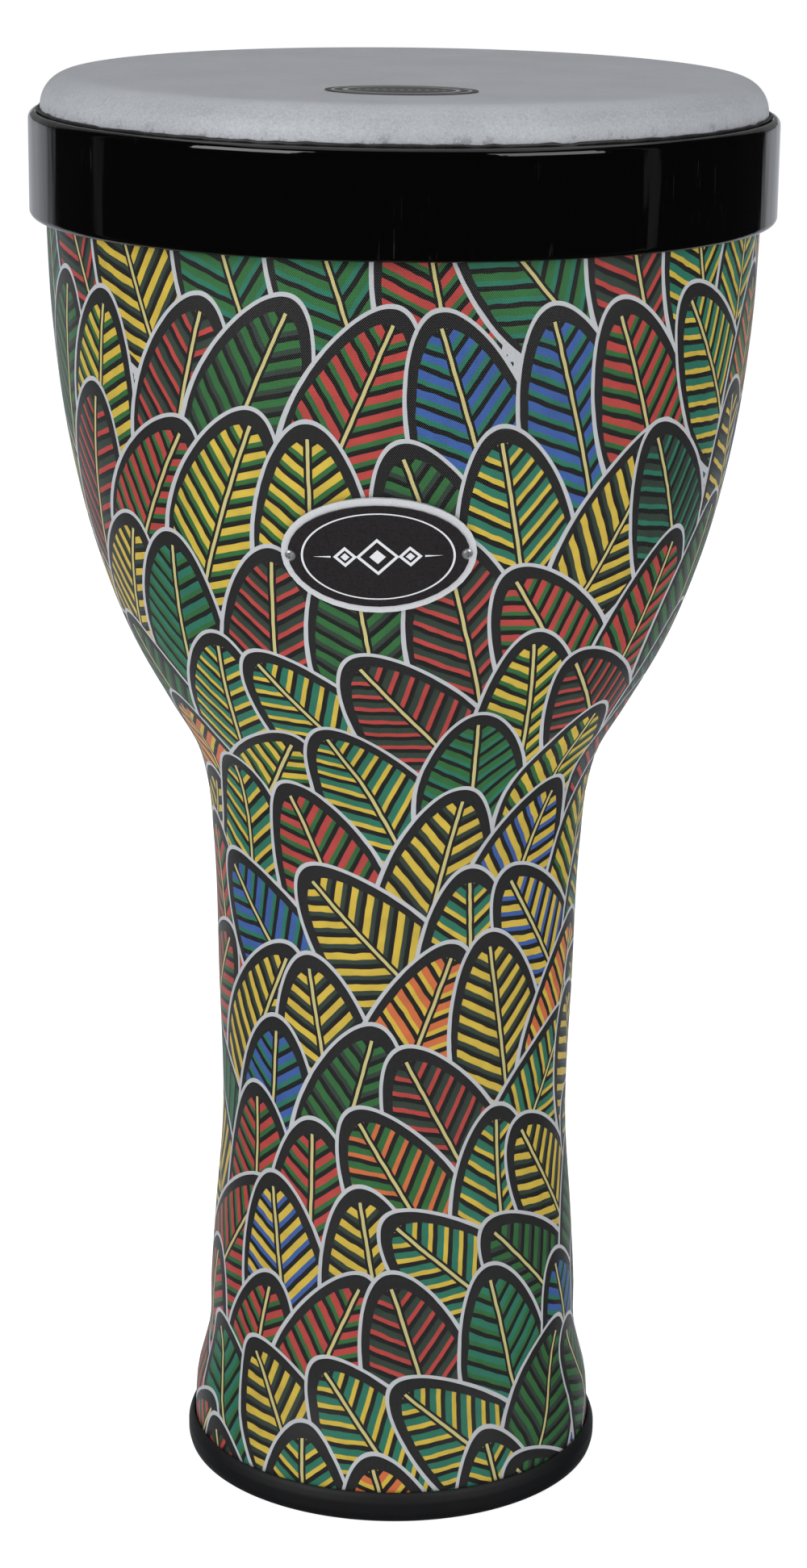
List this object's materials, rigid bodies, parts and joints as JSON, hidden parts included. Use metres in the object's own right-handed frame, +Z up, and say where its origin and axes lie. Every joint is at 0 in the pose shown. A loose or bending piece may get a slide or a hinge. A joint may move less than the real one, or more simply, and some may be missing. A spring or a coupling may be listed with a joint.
{
  "type": "goblet drum",
  "caption": "Goblet-shaped hand drum: printed shell, bonded grey synthetic head in a glossy black rim band, rubber foot ring and an oval badge.",
  "frame": {"origin": "centre of the base, on the surface that the drum stands on", "axes": "+Z up along the drum's axis to the head; the badge faces -Y; +X is to the right seen from the badge's side"},
  "size_m": [0.2228, 0.2228, 0.44],
  "materials": {
    "moulded_shell": "moulded black plastic, satin",
    "printed_cloth": "woven cloth with an overlapping-leaf print under a semi-gloss coat",
    "suede_film": "grey coated film, fine suede speckle",
    "hoop_metal": "plain",
    "bearing_plastic": "moulded, satin",
    "gloss_band": "high-gloss black",
    "sealing_bead": "thin dark bead",
    "foot_rubber": "satin black rubber",
    "badge_rim": "satin, pale grey",
    "badge_face": "black enamel with a plain pale line ornament",
    "screw_nickel": "nickel plated",
    "printed_mark": "thin dark print, plain geometric ornament"
  },
  "bodies": {
    "root": {"shell_stem": "moulded_shell", "shell_bowl": "moulded_shell", "printed_cover": "printed_cloth", "drum_head": "suede_film", "head_hoop": "hoop_metal", "bearing_ring": "bearing_plastic", "rim_band": "gloss_band", "sealing_bead": "sealing_bead", "foot_ring": "foot_rubber", "badge_plate": "badge_rim", "badge_inlay": "badge_face", "badge_screw_left": "screw_nickel", "badge_screw_right": "screw_nickel", "head_mark": "printed_mark"}
  },
  "joints": []
}
